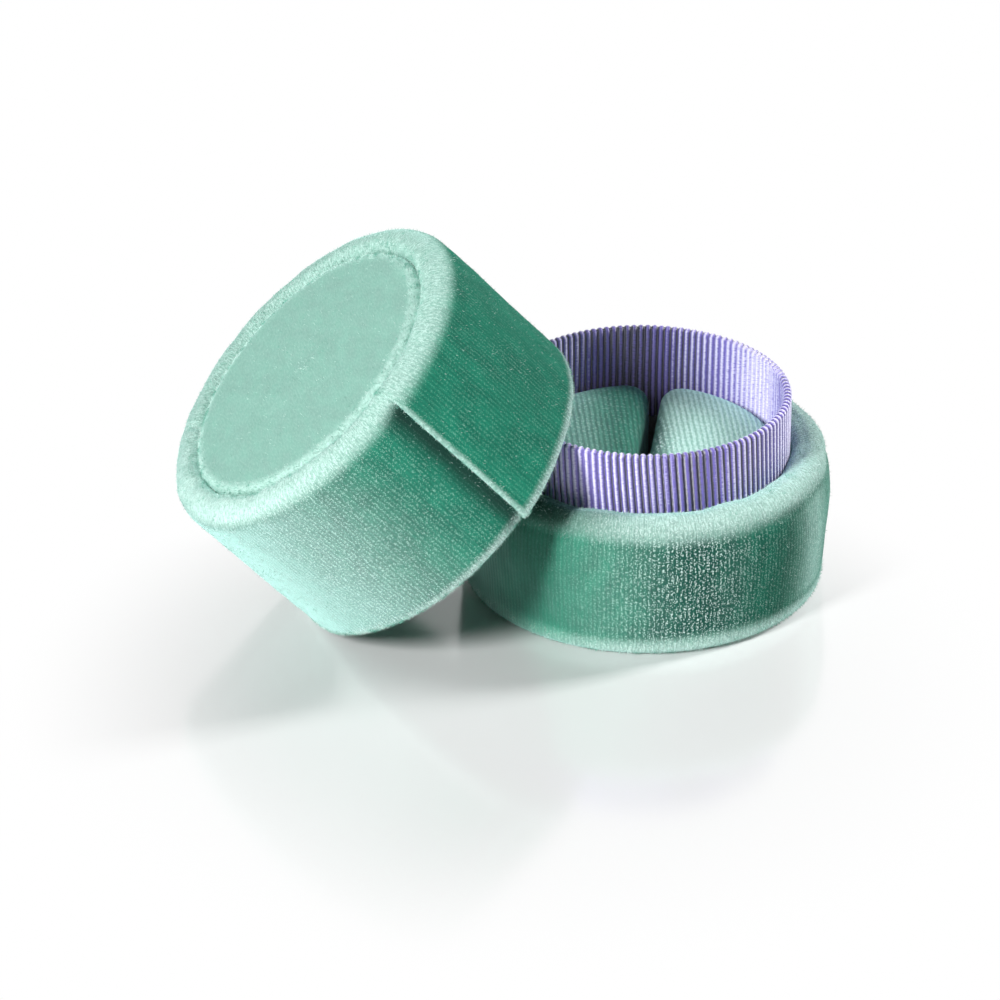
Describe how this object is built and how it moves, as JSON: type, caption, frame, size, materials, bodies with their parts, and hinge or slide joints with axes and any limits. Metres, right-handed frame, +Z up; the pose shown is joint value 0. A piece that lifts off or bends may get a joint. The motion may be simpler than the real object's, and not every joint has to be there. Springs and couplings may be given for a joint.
{
  "type": "ring box",
  "caption": "Round velvet ring box with a lift-off lid: a low base with a ribbon-covered collar and slotted ring pads, and a taller lid leaning against it.",
  "frame": {"origin": "middle of the base's foot, on the table", "axes": "+Z up the base's axis; +X from the leaning lid to the base, in the plane that the lid leans in"},
  "size_m": [0.0897, 0.05, 0.052],
  "materials": {
    "velvet": "sea-green velvet pile",
    "ribbon": "lilac grosgrain ribbon",
    "lining": "matt lining cloth on thin card",
    "foot_felt": "felt-faced disc",
    "wadding": "soft wadding",
    "foam": "soft foam",
    "board": "greyboard",
    "card": "white-lined card"
  },
  "bodies": {
    "base": {"base_tube": "board", "base_floor": "board", "base_foot_panel": "foot_felt", "base_wadding": "wadding", "base_velvet_wrap": "velvet", "collar_tube": "card", "collar_ribbon": "ribbon", "pad_riser": "board", "pad_foam_right": "foam", "pad_cover_right": "velvet", "pad_foam_left": "foam", "pad_cover_left": "velvet"},
    "lid": {"lid_tube": "board", "lid_top_board": "board", "lid_wadding": "wadding", "lid_velvet_wrap": "velvet", "lid_panel_card": "card", "lid_panel_foam": "foam", "lid_panel_velvet": "velvet", "lid_lining": "lining", "lid_ceiling_pad": "lining"}
  },
  "joints": [
    {"name": "lid_lift", "type": "slide", "parent": "base", "child": "lid", "axis": [0, 0, 1], "range_m": [0, 0.05]}
  ]
}
